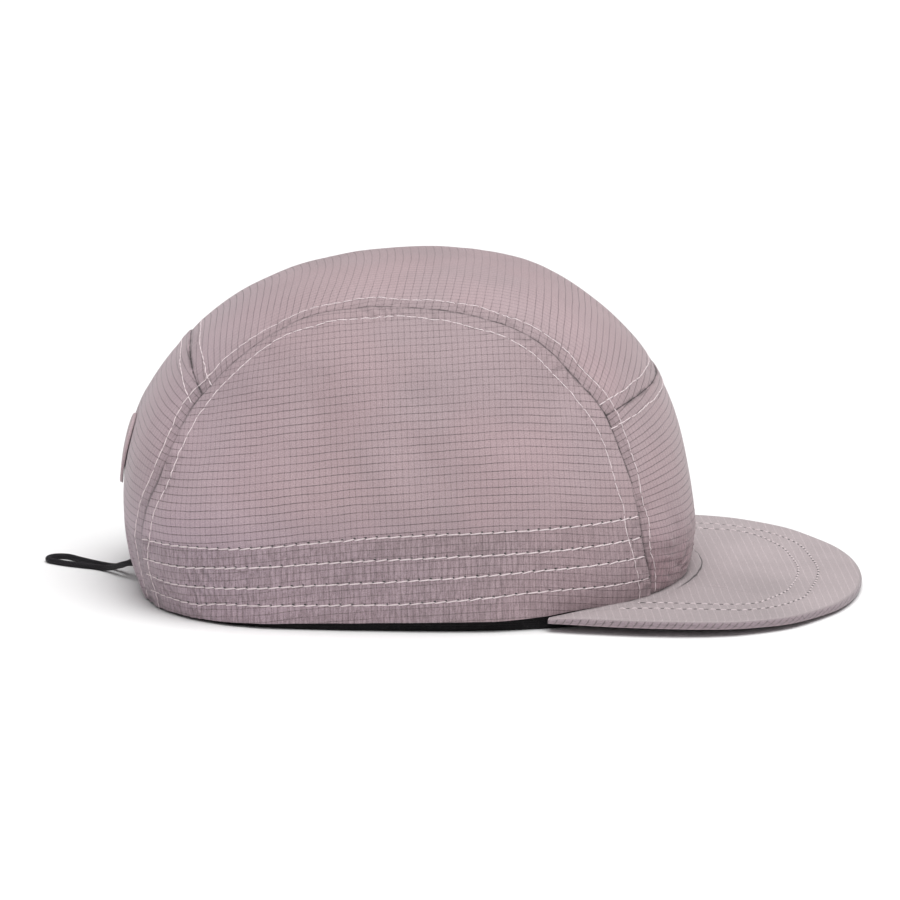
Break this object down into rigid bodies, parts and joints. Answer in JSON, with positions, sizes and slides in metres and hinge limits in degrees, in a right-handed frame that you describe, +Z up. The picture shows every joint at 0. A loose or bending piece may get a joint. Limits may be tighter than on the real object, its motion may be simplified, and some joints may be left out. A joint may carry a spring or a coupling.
{
  "type": "running cap",
  "caption": "Soft unlined running cap with panelled ripstop crown, flat stitched peak, black stretch band inside and an elastic drawcord loop at the back.",
  "frame": {"origin": "on the surface that the cap stands on, under the middle of its length and width, leaving the drawcord out", "axes": "+X forward along the peak, +Y to the wearer's left, +Z up"},
  "size_m": [0.2865, 0.1762, 0.1167],
  "materials": {
    "ripstop_cloth": "dusty mauve ripstop nylon with a fine darker grid and pale pink topstitching",
    "peak_cloth": "the same ripstop drawn flat over a board, with two tone-on-tone stitched rows",
    "patch_cloth": "plain close cloth in the crown's own tone",
    "band_knit": "matt black ribbed stretch knit",
    "cord_elastic": "black braided elastic, slightly satin"
  },
  "bodies": {
    "root": {"side_panel_right": "ripstop_cloth", "side_panel_left": "ripstop_cloth", "top_panel": "ripstop_cloth", "front_panel": "ripstop_cloth", "back_panel": "ripstop_cloth", "sweatband": "band_knit", "peak": "peak_cloth", "back_patch": "patch_cloth", "drawcord": "cord_elastic"}
  },
  "joints": []
}
